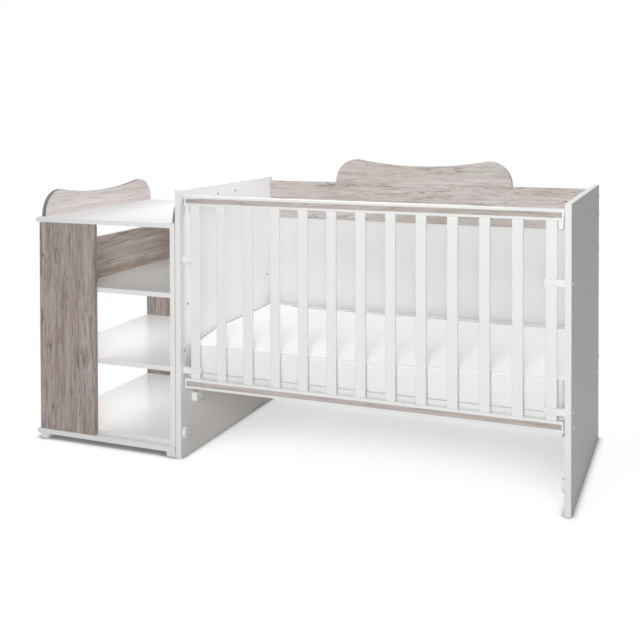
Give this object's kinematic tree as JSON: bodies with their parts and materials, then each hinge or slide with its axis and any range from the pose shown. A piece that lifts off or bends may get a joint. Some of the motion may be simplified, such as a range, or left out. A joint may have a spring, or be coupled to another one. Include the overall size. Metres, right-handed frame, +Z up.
{
  "type": "convertible crib",
  "caption": "Slatted crib with a latched drop side, a mattress on a movable base and a wave headboard, joined to an open changing cabinet with shelves.",
  "frame": {"origin": "on the floor, under the middle of the whole", "axes": "+X along the crib, away from the cabinet, +Y from the drop side to the back, +Z up"},
  "size_m": [1.78, 0.7, 0.932],
  "materials": {
    "white_board": "white satin laminate",
    "oak_board": "weathered grey oak laminate, matt",
    "plain_wood": "bare wood, sanded",
    "white_plastic": "matt",
    "steel": "zinc plated",
    "mattress_cover": "woven cover with a tone on tone pattern"
  },
  "bodies": {
    "frame": {"left_end_panel": "white_board", "right_end_panel": "white_board", "back_panel": "white_board", "cabinet_top": "white_board", "cabinet_base": "white_board", "cabinet_side_panel": "white_board", "upper_shelf": "white_board", "middle_shelf": "white_board", "bottom_shelf": "white_board", "back_rail": "oak_board", "wave_headboard": "oak_board", "cabinet_front_board": "oak_board", "cabinet_rear_board": "oak_board", "cabinet_spine": "oak_board", "left_wave_guard": "oak_board", "right_wave_guard": "oak_board", "headboard_dowels": "plain_wood", "cabinet_dowels": "plain_wood", "left_upper_guide": "white_plastic", "right_upper_guide": "white_plastic", "left_lower_guide": "white_plastic", "right_lower_guide": "white_plastic", "left_stop_disc": "white_plastic", "right_stop_disc": "white_plastic", "front_left_support": "white_plastic", "front_right_support": "white_plastic", "rear_left_support": "white_plastic", "rear_right_support": "white_plastic", "cabinet_feet": "white_plastic", "back_bolts": "steel", "barrel_nuts": "steel", "guide_bolts": "steel", "panel_screws": "steel", "hook_bolts": "steel", "cam_locks": "steel", "cam_bolts": "steel", "joining_bolts": "steel", "foot_screws": "steel"},
    "drop_side": {"top_rail": "white_board", "bottom_rail": "white_board", "top_inlay": "oak_board", "bottom_inlay": "oak_board", "drop_side_slats": "white_board", "left_top_cap": "white_plastic", "right_top_cap": "white_plastic", "left_bottom_cap": "white_plastic", "right_bottom_cap": "white_plastic"},
    "mattress_base": {"base_left_rail": "white_board", "base_right_rail": "white_board", "base_front_rail": "white_board", "base_rear_rail": "white_board", "base_slats": "plain_wood", "base_corner_screws": "steel", "base_slat_screws": "steel", "mattress": "mattress_cover"},
    "left_pin": {"left_latch_pin": "steel"},
    "right_pin": {"right_latch_pin": "steel"},
    "left_tab": {"left_release_tab": "white_plastic"},
    "right_tab": {"right_release_tab": "white_plastic"}
  },
  "joints": [
    {"name": "drop_side_slide", "type": "slide", "parent": "frame", "child": "drop_side", "axis": [0, 0, 1], "range_m": [-0.1277, 0]},
    {"name": "mattress_base_level", "type": "slide", "parent": "frame", "child": "mattress_base", "axis": [0, 0, 1], "range_m": [0, 0.257]},
    {"name": "left_pin_slide", "type": "slide", "parent": "drop_side", "child": "left_pin", "axis": [1, 0, 0], "range_m": [0, 0.005], "stiffness_N_per_m": 300, "springref_m": -0.003},
    {"name": "right_pin_slide", "type": "slide", "parent": "drop_side", "child": "right_pin", "axis": [-1, 0, 0], "range_m": [0, 0.005], "stiffness_N_per_m": 300, "springref_m": -0.003},
    {"name": "left_tab_press", "type": "slide", "parent": "drop_side", "child": "left_tab", "axis": [0, 0, 1], "range_m": [0, 0.005]},
    {"name": "right_tab_press", "type": "slide", "parent": "drop_side", "child": "right_tab", "axis": [0, 0, 1], "range_m": [0, 0.005]}
  ],
  "couplings": [
    {"joint": "left_tab_press", "follows": "left_pin_slide", "ratio": 1},
    {"joint": "right_tab_press", "follows": "right_pin_slide", "ratio": 1}
  ]
}
